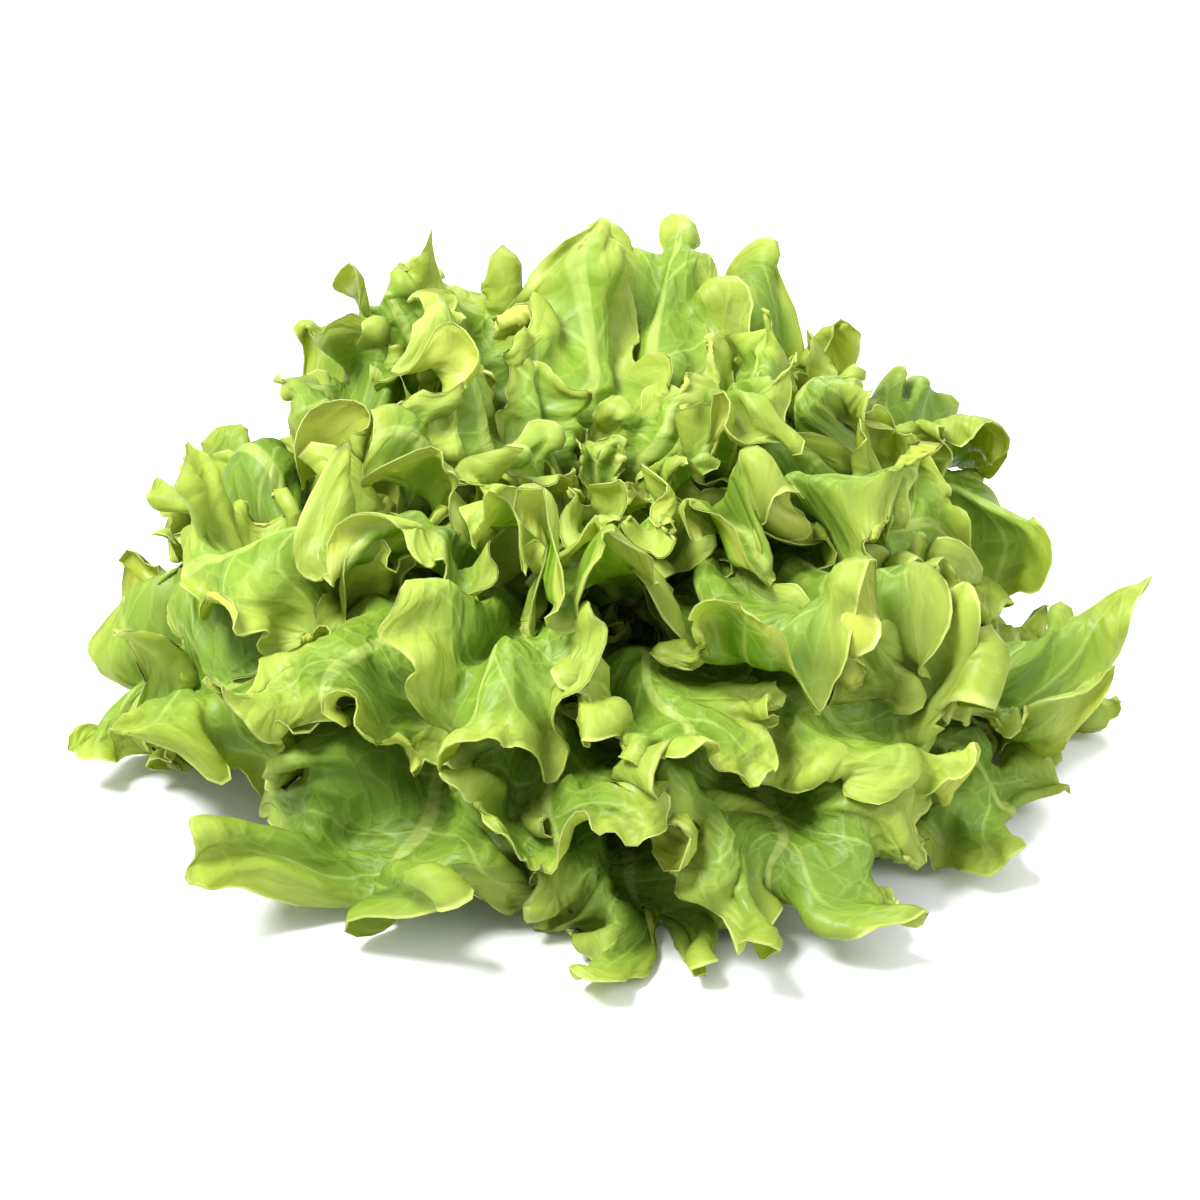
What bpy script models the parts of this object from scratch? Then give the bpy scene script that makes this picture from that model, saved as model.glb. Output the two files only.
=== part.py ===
"""A head of green oak leaf lettuce, cut at the root and standing on its stem.

Units are metres, +Z is up and the origin is the centre of the stem's cut face.
The open side of the head, from which its heart is seen best, faces -Y.

The leaves grow from the stem in a spiral. Each one lies in a layer of its own: the layers are bowls
about the stem's axis, one inside the next, and a leaf's waves stay within its share of the room
between two layers. The whole head is then bent and swayed by one smooth map, so no leaf meets another.
"""

import math

import bpy
import numpy as np

# The head
LEAF_COUNT = 59
HEAD_SEED = 16
LEAF_SEED = 1016
TURN = math.radians(137.508)  # from one leaf to the next, as seen from above
RANK_JITTER = 0.3  # of the step from one leaf to the next
TURN_JITTER = 0.035
RANK_CROWDING = 1.12  # above 1, more of the leaves are outer ones
LONGEST_LEAF = 0.143
SHORTEST_LEAF = 0.034
LENGTH_POWER = 2.6  # the higher, the more of the leaves are long
LENGTH_CHANCE = (0.90, 1.06)
NARROW = 0.42  # half the angle that an outer leaf takes up round the stem
WIDE = 0.66  # and a heart leaf
WIDER_FROM = 0.45  # the rank from which leaves take up more than NARROW

# A leaf's spine, as angles from the vertical: the lowest leaf's and the heart's
ROOT_LEAN = (math.radians(68), math.radians(2))
TIP_LEAN = (math.radians(140), math.radians(60))
REACH = 0.138  # arc length over which the spine takes its full bend
LEAN_POWER = 0.7  # the lower, the sooner the roots stand upright from rank to rank
BEND_POWER = 1.4  # the higher, the more of the bend is near the tip
SPINE_STEPS = 70
SPINE_LENGTH = 0.200

# The stem
STEM_FOOT_RADIUS = 0.0140
STEM_CHAMFER = 0.0010
ROOT_RADIUS = 0.0155  # of the lowest leaf's root, from the axis
HEART_RADIUS = 0.0030
ROOT_HEIGHT = 0.0075
HEART_HEIGHT = 0.0380
STEM_SIDES = 24
STEM_LEVELS = (0.25, 0.5, 0.75, 1.0)
STEM_GAP = 0.0017  # from the stem's side to the middle of a leaf's root

# A leaf's outline, at places on its margin from the tip, 0, to the root, 1
MARGIN_PLACES = (0, 0.17, 0.33, 0.50, 0.72, 0.90, 1.0)
MARGIN_ALONG = (1.0, 0.97, 0.86, 0.68, 0.42, 0.16, 0.0)  # of its length
MARGIN_ACROSS = (0.0, 0.50, 0.88, 1.0, 0.92, 0.68, 0.50)  # of half its width
VEIN_START = 0.74  # of the way to the vein's end, where it leaves the midrib, at the root
VEIN_START_GROWTH = 0.14  # and so much further on at the tip
NOTCH = (0.28, 0.40)  # of a vein's length, between two lobes
NOTCH_PLACES = (0, 0.2, 0.5, 0.8, 0.95)
NOTCH_SHARES = (0.6, 1.0, 1.0, 0.7, 0.0)
LOBE_POWER = 0.5  # below 1, lobes are broad and the notches between them narrow
WANDER = 0.10  # of the lobes round the margin
WANDER_WAVES = 5

# Its waves, as slopes of the blade in radians
RUFFLE = 1.4  # a whole lobe's slope up or down
RUFFLE_FROM = 0.15  # of a vein's length
RUFFLE_ZONE = 0.5
RUFFLE_CHANCE = (0.5, 1.0)
CURL = 1.3  # the edge's slope up or down
CURL_ZONE = 0.012  # from the edge inwards
CURLED_SHARE = 0.75  # of a short vein
CURL_CHANCE = (-1.0, 0.5)
MOST_SLOPE = 1.5
CALM_ROOT = 0.3  # of the margin, over which the waves grow from the root
ROOT_WAVES = 0.10  # what is left of them at the root
OVERHANG = 0.15  # of a lobe's width, by which the waves lean over
OVERHANG_FROM = 0.3
FINE = 48  # steps along a vein in which its slope is added up
MOST_LIFT = 0.0140
ROOM_SHARE = 0.25  # of the gap to the next leaf, which a leaf's waves may fill
ROOM_SLOPE = 0.8  # more room for each unit of distance beside another leaf
BESIDE = 0.12  # radians kept clear beside another leaf

# Folds that run through all the layers alike
FOLD_COUNT = 9
FOLD_TURNS = (14, 22)  # waves round the stem
SHORTEST_FOLD = 0.090  # along the spine
FOLD_DRIFT = 7.0  # radians by which a fold may move on from the lowest layer to the heart
FOLD_HEIGHT = 0.05  # for each unit of distance from the axis
FOLD_FROM = 0.06  # along the spine, where the folds have grown to their full height

# A blade's thickness, from one face to the other
BLADE_THICKNESS = 0.0010
RIB_THICKNESS = 0.0018  # at the root, on the midrib
RIB_REACH = 0.25  # of a vein's length
RIB_POWER = 1.5  # the higher, the nearer to the root it thins out
LEAST_FROM_AXIS = 0.004

# The flow that sways the whole head: waves, shortest and longest, and how far they push
SWAYS = ((12, 0.070, 0.130, 0.011), (36, 0.026, 0.044, 0.0042))
SWAY_STEPS = 6
SWAY_CENTRE = 0.02  # a height on the axis, round which the head stays still
STILL_RADIUS = 0.02
SWAY_GROWTH = 0.06
SWAY_GROUND = 0.03  # height below which the flow doesn't press down in full
GROUND_SOFTNESS = 0.007
GROUND_CLEARANCE = 0.0008
GROUND_FROM = 0.02  # from the axis outwards
GROUND_GROWTH = 0.03
LEAN_FORWARD = 0.12
RISE_BACK = 2.0  # for each metre towards the back
RISE_LEFT = 0.6  # for each metre towards the left

# The mesh of a blade
RING_SHARE = 0.48  # where the ring of points between midrib and margin lies
LEAST_FACING = 0.50  # cosine of the steepest slope that a triangle of a blade may have
EASE_STEP = 0.25
EASE_ROUNDS = 40
SHARP_ANGLE = math.radians(50)
ROUGHNESS = 0.45

# Size classes of leaf: first leaf of the class, name and lobes
CLASSES = (
    (0, "outer_leaf", 14),
    (18, "middle_leaf", 12),
    (36, "inner_leaf", 10),
    (49, "heart_leaf", 6),
)
COLOURS = {
    "outer_leaf": (0.21, 0.42, 0.04),
    "middle_leaf": (0.27, 0.50, 0.05),
    "inner_leaf": (0.33, 0.55, 0.07),
    "heart_leaf": (0.42, 0.60, 0.12),
    "stem": (0.78, 0.82, 0.58),
}


def smooth(x):
    """0 below 0, 1 above 1 and a smooth step between."""
    x = np.clip(x, 0.0, 1.0)
    return x * x * (3 - 2 * x)


def spline(values, x):
    """A smooth line through evenly spaced values, read at x from -1 to 1."""
    last = len(values) - 1
    place = np.clip((x + 1) / 2 * last, 0, last - 1e-9)
    j = place.astype(int)
    f = place - j
    before, here = values[np.maximum(j - 1, 0)], values[j]
    after, beyond = values[np.minimum(j + 1, last)], values[np.minimum(j + 2, last)]
    slope = after - before
    square = 2 * before - 5 * here + 4 * after - beyond
    cube = 3 * here - before - 3 * after + beyond
    return 0.5 * (2 * here + slope * f + square * f**2 + cube * f**3)


def spline_through(stations, values, x):
    """A smooth line through values at unevenly spaced stations, level at both ends."""
    stations, values = np.array(stations), np.array(values)
    slopes = np.gradient(values, stations)
    slopes[0] = 0
    j = np.clip(np.searchsorted(stations, x, side="right") - 1, 0, len(stations) - 2)
    width = stations[j + 1] - stations[j]
    f = np.clip((x - stations[j]) / width, 0, 1)
    here = (1 + 2 * f) * (1 - f) ** 2 * values[j] + f * f * (3 - 2 * f) * values[j + 1]
    return here + width * (f * (1 - f) ** 2 * slopes[j] + f * f * (f - 1) * slopes[j + 1])


def leaf_class(index):
    return [c for c in CLASSES if c[0] <= index][-1]


def leaf_length(rank):
    return SHORTEST_LEAF + (LONGEST_LEAF - SHORTEST_LEAF) * (1 - rank**LENGTH_POWER)


def half_angle(rank):
    return NARROW + (WIDE - NARROW) * smooth((rank - WIDER_FROM) / (1 - WIDER_FROM))


def spine(rank):
    """A layer's profile: arc length, distance from the axis, height, and angle from the vertical.

    rank is 0 for the lowest leaf and 1 for the heart.
    """
    along = np.linspace(0, SPINE_LENGTH, SPINE_STEPS)
    start = ROOT_LEAN[0] + (ROOT_LEAN[1] - ROOT_LEAN[0]) * rank**LEAN_POWER
    end = TIP_LEAN[0] + (TIP_LEAN[1] - TIP_LEAN[0]) * rank
    lean = start + (end - start) * (along / REACH) ** BEND_POWER
    step = along[1]
    outward = np.concatenate([[0], np.cumsum(np.sin(lean[1:]) + np.sin(lean[:-1]))]) * step / 2
    upward = np.concatenate([[0], np.cumsum(np.cos(lean[1:]) + np.cos(lean[:-1]))]) * step / 2
    radius = ROOT_RADIUS + (HEART_RADIUS - ROOT_RADIUS) * rank + outward
    height = ROOT_HEIGHT + (HEART_HEIGHT - ROOT_HEIGHT) * rank + upward
    return along, radius, height, lean


def layer_gap(rank):
    """Along the spine, how far the layers lie apart for each unit of rank."""
    step = 0.02
    along, radius, height, lean = spine(rank)
    _, inner_radius, inner_height, _ = spine(rank + step)
    gap = (radius - inner_radius) * np.cos(lean) + (inner_height - height) * np.sin(lean)
    return along, np.abs(gap) / step


def plant_leaves():
    """Each leaf's rank, azimuth and length, with a little chance in them."""
    draw = np.random.default_rng(HEAD_SEED)
    number = np.arange(LEAF_COUNT)
    ranks = (number + draw.uniform(-RANK_JITTER, RANK_JITTER, LEAF_COUNT)) / (LEAF_COUNT - 1)
    ranks = np.clip(ranks, 0, 1) ** RANK_CROWDING
    azimuths = number * TURN + draw.uniform(-TURN_JITTER, TURN_JITTER, LEAF_COUNT)
    return ranks, azimuths, leaf_length(ranks) * draw.uniform(*LENGTH_CHANCE, LEAF_COUNT)


RANKS, AZIMUTHS, LENGTHS = plant_leaves()


def room(index, turn, s):
    """How far each place of this leaf may lift off its layer, outwards and inwards, clear of the others.

    Over or under another leaf that is a share of the gap between them, and beside it more.
    """
    rank = RANKS[index]
    along, radius, _, _ = spine(rank)
    from_axis = np.interp(s, along, radius)
    gap = ROOM_SHARE * np.interp(s, *layer_gap(rank))
    outwards = np.full(s.shape, MOST_LIFT)
    inwards = np.minimum(MOST_LIFT, from_axis / 2)
    for other in range(LEAF_COUNT):
        if other == index:
            continue
        apart = np.abs((turn - AZIMUTHS[other] + math.pi) % (2 * math.pi) - math.pi)
        width = np.interp(s / LENGTHS[other], MARGIN_ALONG[::-1], MARGIN_ACROSS[::-1])
        beside = from_axis * (apart - half_angle(RANKS[other]) * width - BESIDE)
        beyond = np.maximum(np.maximum(beside, s - LENGTHS[other]), 0)
        free = gap * abs(RANKS[other] - rank) + ROOM_SLOPE * beyond
        if RANKS[other] > rank:
            inwards = np.minimum(inwards, free)
        else:
            outwards = np.minimum(outwards, free)
    return outwards, inwards


def outline(place, index, shift=0.0):
    """For each place on the margin: its vein's start on the midrib, and the vein's end, across and along.

    place runs round the margin: -1 at the root, 0 at the tip and 1 at the root again. shift moves the
    vein's end round the margin, so that a wave leans over its neighbours.
    """
    rank, length, lobes = RANKS[index], LENGTHS[index], leaf_class(index)[2]
    notch, wander = leaf_draw(index)[:2]
    moved = place + WANDER * np.sin(WANDER_WAVES * place + wander) * (1 - np.abs(place)) * np.abs(place)
    away = np.clip(np.abs(moved), 0, 1)
    start = length * spline_through(MARGIN_PLACES, MARGIN_ALONG, away)
    start = start * (VEIN_START + VEIN_START_GROWTH * (1 - away) ** 2)
    lobe = (0.5 + 0.5 * np.cos(math.pi * place * lobes)) ** LOBE_POWER
    kept = 1 - notch * np.interp(away, NOTCH_PLACES, NOTCH_SHARES) * (1 - lobe)
    moved = np.clip(moved + shift, -1, 1)
    end = length * spline_through(MARGIN_PLACES, MARGIN_ALONG, np.abs(moved))
    width = half_angle(rank) * spline_through(MARGIN_PLACES, MARGIN_ACROSS, np.abs(moved))
    along, radius, _, _ = spine(rank)
    across = width * np.interp(end, along, radius) * np.sign(moved)
    return start, across * kept, start + (end - start) * kept


def leaf_draw(index):
    """What chance gives a leaf: its notches' depth and wander, and its lobes' slopes and curls."""
    lobes = leaf_class(index)[2]
    draw = np.random.default_rng(LEAF_SEED + index)
    notch, wander = draw.uniform(*NOTCH), draw.uniform(0, 2 * math.pi)
    turns = draw.choice([-1, 1]) * np.where(np.arange(lobes + 1) % 2 == 0, 1.0, -1.0)
    slopes = turns * draw.uniform(*RUFFLE_CHANCE, lobes + 1)
    curls = draw.uniform(*CURL_CHANCE, lobes + 3)
    return notch, wander, slopes, curls


def vein_lines(index, places, steps):
    """Each vein's points on the flattened layer: across, along, and lifted off it."""
    _, _, ruffles, curls = leaf_draw(index)
    ruffle, curl = spline(ruffles, places)[:, None], spline(curls, places)[:, None]
    firm = (ROOT_WAVES + (1 - ROOT_WAVES) * smooth((1 - np.abs(places)) / CALM_ROOT))[:, None]
    fine = np.linspace(0, 1, FINE + 1)[None, :]
    lobes = leaf_class(index)[2]
    swing = np.sin(math.pi * (places + 1) * lobes)[:, None]
    shift = firm * OVERHANG / lobes * swing * smooth((fine - OVERHANG_FROM) / (1 - OVERHANG_FROM))
    start, across, end = outline(places[:, None] + 0 * fine, index, shift)
    reach = np.hypot(across, end - start)
    curl_share = smooth(1 - (1 - fine) * reach / np.minimum(CURL_ZONE, CURLED_SHARE * reach))
    slope = RUFFLE * ruffle * smooth((fine - RUFFLE_FROM) / RUFFLE_ZONE) + CURL * curl * curl_share
    slope = np.clip(firm * slope, -MOST_SLOPE, MOST_SLOPE)
    outward = np.zeros_like(slope)
    lifted = np.zeros_like(slope)
    outward[:, 1:] = np.cumsum(np.cos(slope[:, :-1]), axis=1) / FINE
    lifted[:, 1:] = np.cumsum(np.sin(slope[:, :-1]), axis=1) / FINE
    place = np.asarray(steps, float) * FINE
    low = np.minimum(place.astype(int), FINE - 1)
    lines = (across * outward, start + (end - start) * outward, lifted * reach)
    return [line[:, low] + (line[:, low + 1] - line[:, low]) * (place - low) for line in lines]


def sway_modes():
    """Wave vectors, directions and phases of the smooth flow that sways the head."""
    draw = np.random.default_rng(HEAD_SEED)
    waves, pushes, phases = [], [], []
    for count, short, long, strength in SWAYS:
        across = draw.normal(size=(count, 3))
        across /= np.linalg.norm(across, axis=1)[:, None]
        push = np.cross(across, draw.normal(size=(count, 3)))
        push *= strength / math.sqrt(count / 2) / np.linalg.norm(push, axis=1)[:, None]
        waves.append(across * 2 * math.pi / draw.uniform(short, long, (count, 1)))
        pushes.append(push)
        phases.append(draw.uniform(0, 2 * math.pi, count))
    return np.concatenate(waves), np.concatenate(pushes), np.concatenate(phases)


SWAY = sway_modes()


def sway_speed(points):
    """The flow at these points. It stops at the stem, and doesn't press into the ground."""
    waves, push, phase = SWAY
    speed = np.cos(points @ waves.T + phase) @ push
    from_centre = np.linalg.norm(points - (0, 0, SWAY_CENTRE), axis=1)
    speed *= smooth((from_centre - STILL_RADIUS) / SWAY_GROWTH)[:, None]
    speed[:, 2] *= smooth(points[:, 2] / SWAY_GROUND)
    return speed


def settle(points):
    """Bends the space of the upright, even head into that of the real one. Layers never cross."""
    p = np.array(points, float)
    share = smooth((np.hypot(p[:, 0], p[:, 1]) - GROUND_FROM) / GROUND_GROWTH)
    above_ground = 0.5 * (p[:, 2] + np.sqrt(p[:, 2] ** 2 + GROUND_SOFTNESS**2)) + GROUND_CLEARANCE
    p[:, 2] += share * (above_ground - p[:, 2])
    for _ in range(SWAY_STEPS):
        halfway = p + sway_speed(p) / SWAY_STEPS / 2
        p = p + sway_speed(halfway) / SWAY_STEPS
    height = p[:, 2].copy()
    p[:, 2] *= 1 + RISE_BACK * p[:, 1] - RISE_LEFT * p[:, 0]
    p[:, 1] -= LEAN_FORWARD * height
    return p


def fold_modes():
    """Waves round the stem and along the spine, drift from layer to layer, and phases of the folds."""
    draw = np.random.default_rng(HEAD_SEED + 1)
    turns = draw.integers(FOLD_TURNS[0], FOLD_TURNS[1] + 1, FOLD_COUNT)
    along = draw.uniform(-1, 1, FOLD_COUNT) * 2 * math.pi / SHORTEST_FOLD
    drift = draw.uniform(-FOLD_DRIFT, FOLD_DRIFT, FOLD_COUNT)
    return turns, along, drift, draw.uniform(0, 2 * math.pi, FOLD_COUNT)


FOLDS = fold_modes()


def fold(turn, s, rank, from_axis):
    """How far the folds lift this place off its layer."""
    wave = sum(np.cos(m * turn + k * s + d * rank + p) for m, k, d, p in zip(*FOLDS))
    return FOLD_HEIGHT * from_axis * np.tanh(wave / math.sqrt(FOLD_COUNT / 2)) * smooth(s / FOLD_FROM)


def blade(index, places, steps, side):
    """Points of a leaf's face, in rows along its veins: [place on the margin, step along the vein].

    side is 1 for the upper face, which looks towards the heart, and -1 for the lower one. Both faces
    are the same waves, moved apart along the normal of the leaf's layer, so they can't cross.
    """
    x, s, lifted = vein_lines(index, places, steps)
    along, radius, height, lean = spine(RANKS[index])
    from_axis, lean = np.interp(s, along, radius), np.interp(s, along, lean)
    turn = AZIMUTHS[index] + x / np.maximum(from_axis, LEAST_FROM_AXIS)
    outwards, inwards = room(index, turn, s)
    free = np.where(lifted < 0, outwards, inwards)
    steps = np.asarray(steps, float)
    rib = np.abs(places)[:, None] ** RIB_POWER * np.clip(1 - steps[None, :] / RIB_REACH, 0, 1)
    thickness = BLADE_THICKNESS + (RIB_THICKNESS - BLADE_THICKNESS) * rib
    lifted = free * np.tanh(lifted / free) + side * thickness / 2
    lifted = lifted + fold(turn, s, RANKS[index], from_axis)
    from_axis = from_axis - lifted * np.cos(lean)
    z = np.interp(s, along, height) + lifted * np.sin(lean)
    points = np.stack([from_axis * np.cos(turn), from_axis * np.sin(turn), z], axis=-1)
    return settle(points.reshape(-1, 3)).reshape(points.shape)


def leaf_sheet(index):
    """Points of both faces, the triangles of one, and its open edge.

    The margin has four steps to a lobe. The ring inside it has every second step and the midrib
    every fourth.
    """
    margin_steps = 4 * leaf_class(index)[2]
    margin = list(range(margin_steps + 1))
    ring = {j: len(margin) + j // 2 for j in range(0, margin_steps + 1, 2)}
    rib_start = len(margin) + len(ring)
    rib = {j: rib_start + j // 4 for j in range(0, margin_steps // 2 + 1, 4)}
    rib.update({margin_steps - j: rib[j] for j in list(rib)})
    places = np.linspace(-1, 1, margin_steps + 1)
    faces = []
    for side in (1, -1):
        grid = blade(index, places, [0.0, RING_SHARE, 1.0], side)
        half_rib = range(0, margin_steps // 2 + 1, 4)
        faces.append(np.concatenate([grid[:, 2], grid[::2, 1], [grid[j, 0] for j in half_rib]]))
    triangles = []
    for j in range(0, margin_steps, 2):
        triangles.append((ring[j], margin[j], margin[j + 1]))
        triangles.append((ring[j], margin[j + 1], ring[j + 2]))
        triangles.append((ring[j + 2], margin[j + 1], margin[j + 2]))
    for j in range(0, margin_steps, 4):
        triangles.append((rib[j], ring[j], ring[j + 2]))
        triangles.append((rib[j], ring[j + 2], rib[j + 4]))
        triangles.append((rib[j + 4], ring[j + 2], ring[j + 4]))
    edge = margin + [ring[margin_steps], rib[0], ring[0]]
    return faces, triangles, edge


def material(name):
    made = bpy.data.materials.get(name) or bpy.data.materials.new(name)
    made.use_nodes = True
    shader = made.node_tree.nodes["Principled BSDF"]
    shader.inputs["Base Color"].default_value = (*COLOURS[name], 1)
    shader.inputs["Roughness"].default_value = ROUGHNESS
    return made


def add_object(name, points, faces, finish):
    mesh = bpy.data.meshes.new(name)
    mesh.from_pydata([tuple(p) for p in points], [], faces)
    mesh.validate()
    mesh.materials.append(material(finish))
    mesh.shade_smooth()
    mesh.set_sharp_from_angle(angle=SHARP_ANGLE)
    made = bpy.data.objects.new(name, mesh)
    bpy.context.scene.collection.objects.link(made)
    return made


def ease(upper, lower, triangles):
    """Moves the corners of the steepest triangles towards their neighbours, alike on both faces."""
    corners = np.array(triangles)
    beside = np.zeros((len(upper), len(upper)))
    for k in range(3):
        beside[corners[:, k], corners[:, k - 1]] = 1
        beside[corners[:, k - 1], corners[:, k]] = 1
    beside /= beside.sum(axis=1)[:, None]
    for _ in range(EASE_ROUNDS):
        middle, up = (upper + lower) / 2, upper - lower
        a, b, c = (middle[corners[:, k]] for k in range(3))
        normal = np.cross(b - a, c - a)
        towards = up[corners].mean(axis=1)
        facing = (normal * towards).sum(axis=1)
        facing /= np.linalg.norm(normal, axis=1) * np.linalg.norm(towards, axis=1)
        steep = corners[facing * np.sign(np.median(facing)) < LEAST_FACING]
        if len(steep) == 0:
            break
        moved = np.zeros(len(upper))
        moved[np.unique(steep)] = EASE_STEP
        shift = moved[:, None] * (beside @ middle - middle)
        upper, lower = upper + shift, lower + shift
    return upper, lower


def make_leaf(index):
    """One leaf as a closed blade: two faces alike, a thickness apart, and a rim."""
    first, name, _ = leaf_class(index)
    (upper, lower), triangles, edge = leaf_sheet(index)
    upper, lower = ease(upper, lower, triangles)
    count = len(upper)
    faces = list(triangles) + [(c + count, b + count, a + count) for a, b, c in triangles]
    for a, b in zip(edge, edge[1:] + edge[:1]):
        faces += [(b, a, a + count), (b, a + count, b + count)]
    return add_object(f"{name}_{index - first + 1:02d}", np.concatenate([upper, lower]), faces, name)


def make_stem():
    """The cut stem: a short stump that narrows to the growing point, where the heart leaves sit."""
    heights = [0, STEM_CHAMFER, ROOT_HEIGHT]
    radii = [STEM_FOOT_RADIUS - STEM_CHAMFER, STEM_FOOT_RADIUS, ROOT_RADIUS - STEM_GAP]
    for share in STEM_LEVELS:
        heights.append(ROOT_HEIGHT + (HEART_HEIGHT - ROOT_HEIGHT) * share)
        radii.append(ROOT_RADIUS + (HEART_RADIUS - ROOT_RADIUS) * share - STEM_GAP)
    turns = [2 * math.pi * k / STEM_SIDES for k in range(STEM_SIDES)]
    points = [(r * math.cos(a), r * math.sin(a), z) for r, z in zip(radii, heights) for a in turns]
    faces = [tuple(reversed(range(STEM_SIDES)))]
    for level in range(len(radii) - 1):
        low = level * STEM_SIDES
        for k in range(STEM_SIDES):
            n = (k + 1) % STEM_SIDES
            faces.append((low + k, low + n, low + n + STEM_SIDES, low + k + STEM_SIDES))
    top = (len(radii) - 1) * STEM_SIDES
    faces.append(tuple(range(top, top + STEM_SIDES)))
    points = np.array(points)
    above = points[:, 2] > STEM_CHAMFER
    points[above] = settle(points[above])
    return add_object("stem", points, faces, "stem")


for left_over in list(bpy.data.objects):
    bpy.data.objects.remove(left_over)
make_stem()
for leaf_index in range(LEAF_COUNT):
    make_leaf(leaf_index)
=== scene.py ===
"""The looks of a head of green oak leaf lettuce: every leaf finely modelled where the frame holds it.

Units are metres, +Z is up and the origin is the centre of the stem's cut face.
"""

import math

import bmesh
import bpy
import numpy as np
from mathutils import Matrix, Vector


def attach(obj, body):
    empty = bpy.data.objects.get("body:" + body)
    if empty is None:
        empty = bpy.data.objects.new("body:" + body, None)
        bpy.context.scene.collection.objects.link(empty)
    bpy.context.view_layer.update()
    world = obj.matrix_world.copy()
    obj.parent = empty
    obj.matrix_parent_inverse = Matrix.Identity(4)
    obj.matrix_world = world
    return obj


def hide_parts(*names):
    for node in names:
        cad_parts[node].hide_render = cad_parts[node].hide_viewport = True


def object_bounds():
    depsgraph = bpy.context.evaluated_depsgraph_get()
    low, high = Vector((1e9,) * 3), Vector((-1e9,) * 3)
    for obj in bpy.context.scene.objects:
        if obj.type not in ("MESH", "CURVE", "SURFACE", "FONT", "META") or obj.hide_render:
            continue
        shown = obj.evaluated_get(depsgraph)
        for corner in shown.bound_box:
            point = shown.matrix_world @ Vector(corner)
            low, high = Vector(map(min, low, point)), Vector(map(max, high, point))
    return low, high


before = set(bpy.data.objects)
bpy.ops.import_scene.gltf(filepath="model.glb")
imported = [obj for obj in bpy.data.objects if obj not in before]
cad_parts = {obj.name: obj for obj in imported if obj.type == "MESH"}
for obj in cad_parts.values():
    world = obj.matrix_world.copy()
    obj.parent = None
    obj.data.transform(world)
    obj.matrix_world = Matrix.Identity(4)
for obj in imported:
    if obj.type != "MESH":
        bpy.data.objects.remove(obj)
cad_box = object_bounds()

# The head
LEAF_COUNT = 59
HEAD_SEED = 16
LEAF_SEED = 1016
TURN = math.radians(137.508)  # from one leaf to the next, as seen from above
RANK_JITTER = 0.3  # of the step from one leaf to the next
TURN_JITTER = 0.035
RANK_CROWDING = 1.12  # above 1, more of the leaves are outer ones
LONGEST_LEAF = 0.143
SHORTEST_LEAF = 0.034
LENGTH_POWER = 2.6  # the higher, the more of the leaves are long
LENGTH_CHANCE = (0.90, 1.06)
NARROW = 0.42  # half the angle that an outer leaf takes up round the stem
WIDE = 0.66  # and a heart leaf
WIDER_FROM = 0.45  # the rank from which leaves take up more than NARROW

# A leaf's spine, as angles from the vertical: the lowest leaf's and the heart's
ROOT_LEAN = (math.radians(68), math.radians(2))
TIP_LEAN = (math.radians(140), math.radians(60))
REACH = 0.138  # arc length over which the spine takes its full bend
LEAN_POWER = 0.7  # the lower, the sooner the roots stand upright from rank to rank
BEND_POWER = 1.4  # the higher, the more of the bend is near the tip
SPINE_STEPS = 70
SPINE_LENGTH = 0.200

# Where the leaves' roots sit on the stem
ROOT_RADIUS = 0.0155  # of the lowest leaf's root, from the axis
HEART_RADIUS = 0.0030
ROOT_HEIGHT = 0.0075
HEART_HEIGHT = 0.0380

# A leaf's outline, at places on its margin from the tip, 0, to the root, 1
MARGIN_PLACES = (0, 0.17, 0.33, 0.50, 0.72, 0.90, 1.0)
MARGIN_ALONG = (1.0, 0.97, 0.86, 0.68, 0.42, 0.16, 0.0)  # of its length
MARGIN_ACROSS = (0.0, 0.50, 0.88, 1.0, 0.92, 0.68, 0.50)  # of half its width
VEIN_START = 0.74  # of the way to the vein's end, where it leaves the midrib, at the root
VEIN_START_GROWTH = 0.14  # and so much further on at the tip
NOTCH = (0.28, 0.40)  # of a vein's length, between two lobes
NOTCH_PLACES = (0, 0.2, 0.5, 0.8, 0.95)
NOTCH_SHARES = (0.6, 1.0, 1.0, 0.7, 0.0)
LOBE_POWER = 0.5  # below 1, lobes are broad and the notches between them narrow
WANDER = 0.10  # of the lobes round the margin
WANDER_WAVES = 5

# Its waves, as slopes of the blade in radians
RUFFLE = 1.4  # a whole lobe's slope up or down
RUFFLE_FROM = 0.15  # of a vein's length
RUFFLE_ZONE = 0.5
RUFFLE_CHANCE = (0.5, 1.0)
CURL = 1.3  # the edge's slope up or down
CURL_ZONE = 0.012  # from the edge inwards
CURLED_SHARE = 0.75  # of a short vein
CURL_CHANCE = (-1.0, 0.5)
MOST_SLOPE = 1.5
CALM_ROOT = 0.3  # of the margin, over which the waves grow from the root
ROOT_WAVES = 0.10  # what is left of them at the root
OVERHANG = 0.06  # of a lobe's width, by which the waves lean over
OVERHANG_FROM = 0.3
FINE = 48  # steps along a vein in which its slope is added up
MOST_LIFT = 0.0140
ROOM_SHARE = 0.95  # of the gap to the next leaf, which a leaf's waves may fill
ROOM_SLOPE = 0.8  # more room for each unit of distance beside another leaf
BESIDE = 0.03  # radians kept clear beside another leaf

# Folds that run through all the layers alike
FOLD_COUNT = 9
FOLD_TURNS = (14, 22)  # waves round the stem
SHORTEST_FOLD = 0.090  # along the spine
FOLD_DRIFT = 7.0  # radians by which a fold may move on from the lowest layer to the heart
FOLD_HEIGHT = 0.11  # for each unit of distance from the axis
FOLD_FROM = 0.06  # along the spine, where the folds have grown to their full height
LEAST_FROM_AXIS = 0.004

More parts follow.
